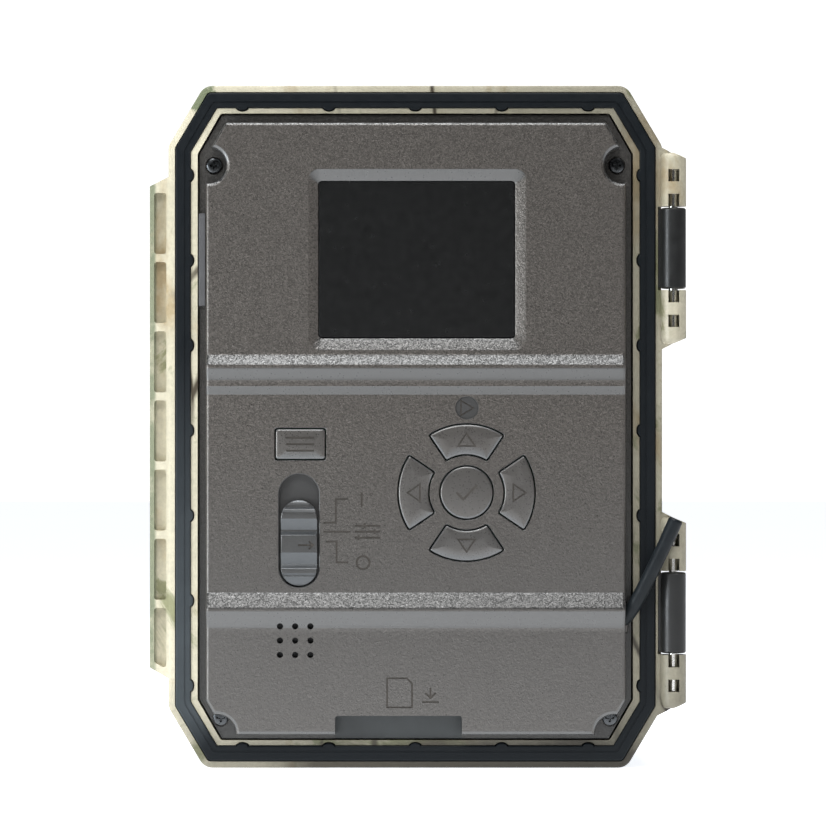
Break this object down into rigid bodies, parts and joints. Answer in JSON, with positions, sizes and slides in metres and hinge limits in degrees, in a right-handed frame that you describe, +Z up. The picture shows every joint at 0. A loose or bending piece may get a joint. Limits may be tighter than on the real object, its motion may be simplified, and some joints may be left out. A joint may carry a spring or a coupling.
{
  "type": "trail camera",
  "caption": "Trail camera body opened at its seal: octagonal camouflage case with a control panel, key pad, mode slider, display, hinges, lens, infrared window and motion sensor.",
  "frame": {"origin": "middle of the case's flat base, halfway across its width and halfway through the depth of the case", "axes": "+Z up, along the height of the case; -Y the way the control panel faces; +Y the way the lens looks; +X to the right of a person facing the control panel, towards the hinges"},
  "size_m": [0.1167, 0.0511, 0.1484],
  "materials": {
    "case": "moulded plastic printed with a beige and olive leaf camouflage, satin",
    "seal": "black silicone rubber, satin",
    "panel": "warm grey metallic paint with fine sparkle",
    "screen": "dark display window, switched off",
    "keys": "warm grey metallic paint, a little smoother than the panel",
    "steel": "plated steel",
    "sleeve": "black moulded plastic, satin",
    "lead": "black rubber cable jacket, satin",
    "board": "green circuit board",
    "chip": "black moulded component",
    "face": "black fine-textured plastic",
    "glass": "coated lens glass",
    "smoked": "dark smoked filter plastic",
    "dome": "milky white plastic",
    "amber": "flexible amber circuit film",
    "foam": "grey closed-cell foam",
    "brass": "turned brass"
  },
  "bodies": {
    "camera": {"front_case": "case", "seal": "seal", "control_panel": "panel", "display_window": "screen", "panel_screw_top_left": "steel", "panel_screw_top_right": "steel", "panel_screw_low_left": "steel", "panel_screw_low_right": "steel", "board_screw_top_left": "steel", "board_screw_top_right": "steel", "board_screw_low_left": "steel", "board_screw_low_right": "steel", "hinge_pin_upper": "steel", "hinge_pin_lower": "steel", "card_socket": "steel", "slide_switch": "steel", "clock_cell": "steel", "pir_sensor": "steel", "power_lead": "lead", "lead_connector": "lead", "lead_saddle": "lead", "main_board": "board", "sensor_board": "board", "pir_board": "board", "card_board": "board", "ir_led_board": "board", "processor": "chip", "image_sensor": "chip", "lcd_module": "chip", "speaker": "chip", "key_switch_ok": "chip", "key_switch_menu": "chip", "key_switch_up": "chip", "key_switch_down": "chip", "key_switch_left": "chip", "key_switch_right": "chip", "face_plate": "face", "lens_ring": "face", "lens_holder": "face", "lens_barrel": "face", "lens_glass": "glass", "ir_window": "smoked", "status_light": "smoked", "light_sensor": "smoked", "pir_dome": "dome", "lead_header": "dome", "lcd_ribbon": "amber", "side_pad": "foam", "tripod_insert": "brass"},
    "key_up": {"key_up": "keys"},
    "key_down": {"key_down": "keys"},
    "key_left": {"key_left": "keys"},
    "key_right": {"key_right": "keys"},
    "key_ok": {"key_ok": "keys"},
    "key_menu": {"key_menu": "keys"},
    "mode_slider": {"mode_slider": "keys"},
    "hinge_sleeve_upper": {"hinge_sleeve_upper": "sleeve"},
    "hinge_sleeve_lower": {"hinge_sleeve_lower": "sleeve"},
    "ir_cut_filter": {"ir_cut_filter": "glass"}
  },
  "joints": [
    {"name": "key_up_press", "type": "slide", "parent": "camera", "child": "key_up", "axis": [0, 1, 0], "range_m": [0, 0.0005], "stiffness_N_per_m": 400},
    {"name": "key_down_press", "type": "slide", "parent": "camera", "child": "key_down", "axis": [0, 1, 0], "range_m": [0, 0.0005], "stiffness_N_per_m": 400},
    {"name": "key_left_press", "type": "slide", "parent": "camera", "child": "key_left", "axis": [0, 1, 0], "range_m": [0, 0.0005], "stiffness_N_per_m": 400},
    {"name": "key_right_press", "type": "slide", "parent": "camera", "child": "key_right", "axis": [0, 1, 0], "range_m": [0, 0.0005], "stiffness_N_per_m": 400},
    {"name": "key_ok_press", "type": "slide", "parent": "camera", "child": "key_ok", "axis": [0, 1, 0], "range_m": [0, 0.0005], "stiffness_N_per_m": 400},
    {"name": "key_menu_press", "type": "slide", "parent": "camera", "child": "key_menu", "axis": [0, 1, 0], "range_m": [0, 0.0005], "stiffness_N_per_m": 400},
    {"name": "mode_slide", "type": "slide", "parent": "camera", "child": "mode_slider", "axis": [0, 0, 1], "range_m": [0, 0.0053]},
    {"name": "hinge_upper_turn", "type": "hinge", "parent": "camera", "child": "hinge_sleeve_upper", "pos_m": [0.0561, -0.019, 0.113], "axis": [0, 0, 1], "range_deg": [0, 180]},
    {"name": "hinge_lower_turn", "type": "hinge", "parent": "camera", "child": "hinge_sleeve_lower", "pos_m": [0.0561, -0.019, 0.0338], "axis": [0, 0, 1], "range_deg": [0, 180]},
    {"name": "ir_cut_slide", "type": "slide", "parent": "camera", "child": "ir_cut_filter", "axis": [-1, 0, 0], "range_m": [0, 0.004]}
  ]
}
